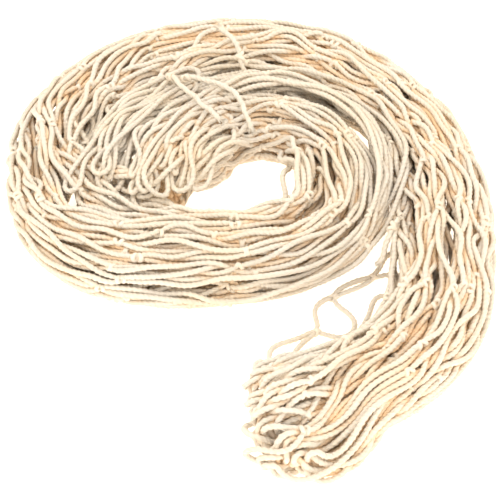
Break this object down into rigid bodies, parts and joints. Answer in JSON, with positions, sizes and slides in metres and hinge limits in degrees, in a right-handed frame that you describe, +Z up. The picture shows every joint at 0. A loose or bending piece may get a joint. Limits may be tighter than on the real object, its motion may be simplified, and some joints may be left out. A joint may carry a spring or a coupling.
{
  "type": "rope hammock",
  "caption": "Knotted cotton net hammock, folded in half and laid down as a loose coil with its folded end running out as a tail.",
  "frame": {"origin": "on the floor under the middle of the coiled hammock and its tail", "axes": "+Z up from the floor, +Y from the folded tail end towards the far side of the coil, +X towards the side where the tail leaves the coil"},
  "size_m": [0.2656, 0.3342, 0.0482],
  "materials": {
    "net_cotton": "matt unbleached twisted cotton",
    "edge_cotton": "matt unbleached twisted cotton",
    "loose_cotton": "matt unbleached cotton, frayed at the tip",
    "binding_cotton": "matt unbleached cotton, tightly wound"
  },
  "bodies": {
    "root": {"hanging_eye_foot": "binding_cotton", "hanging_eye_head": "binding_cotton", "loose_end_1": "loose_cotton", "loose_end_2": "loose_cotton", "loose_end_3": "loose_cotton", "loose_end_4": "loose_cotton", "net_cord_01": "net_cotton", "net_cord_02": "net_cotton", "net_cord_03": "net_cotton", "net_cord_04": "net_cotton", "net_cord_05": "net_cotton", "net_cord_06": "net_cotton", "net_cord_07": "net_cotton", "net_cord_08": "net_cotton", "net_cord_09": "net_cotton", "net_cord_10": "net_cotton", "net_cord_11": "net_cotton", "net_cord_12": "net_cotton", "net_cord_13": "net_cotton", "net_cord_14": "net_cotton", "net_cord_15": "net_cotton", "net_cord_16": "net_cotton", "net_cord_17": "net_cotton", "net_cord_18": "net_cotton", "net_cord_19": "net_cotton", "net_cord_20": "net_cotton", "net_cord_21": "net_cotton", "net_cord_22": "net_cotton", "net_cord_23": "net_cotton", "net_cord_24": "net_cotton", "side_cord_inner": "edge_cotton", "side_cord_outer": "edge_cotton", "whipping_foot": "binding_cotton", "whipping_head": "binding_cotton"}
  },
  "joints": []
}
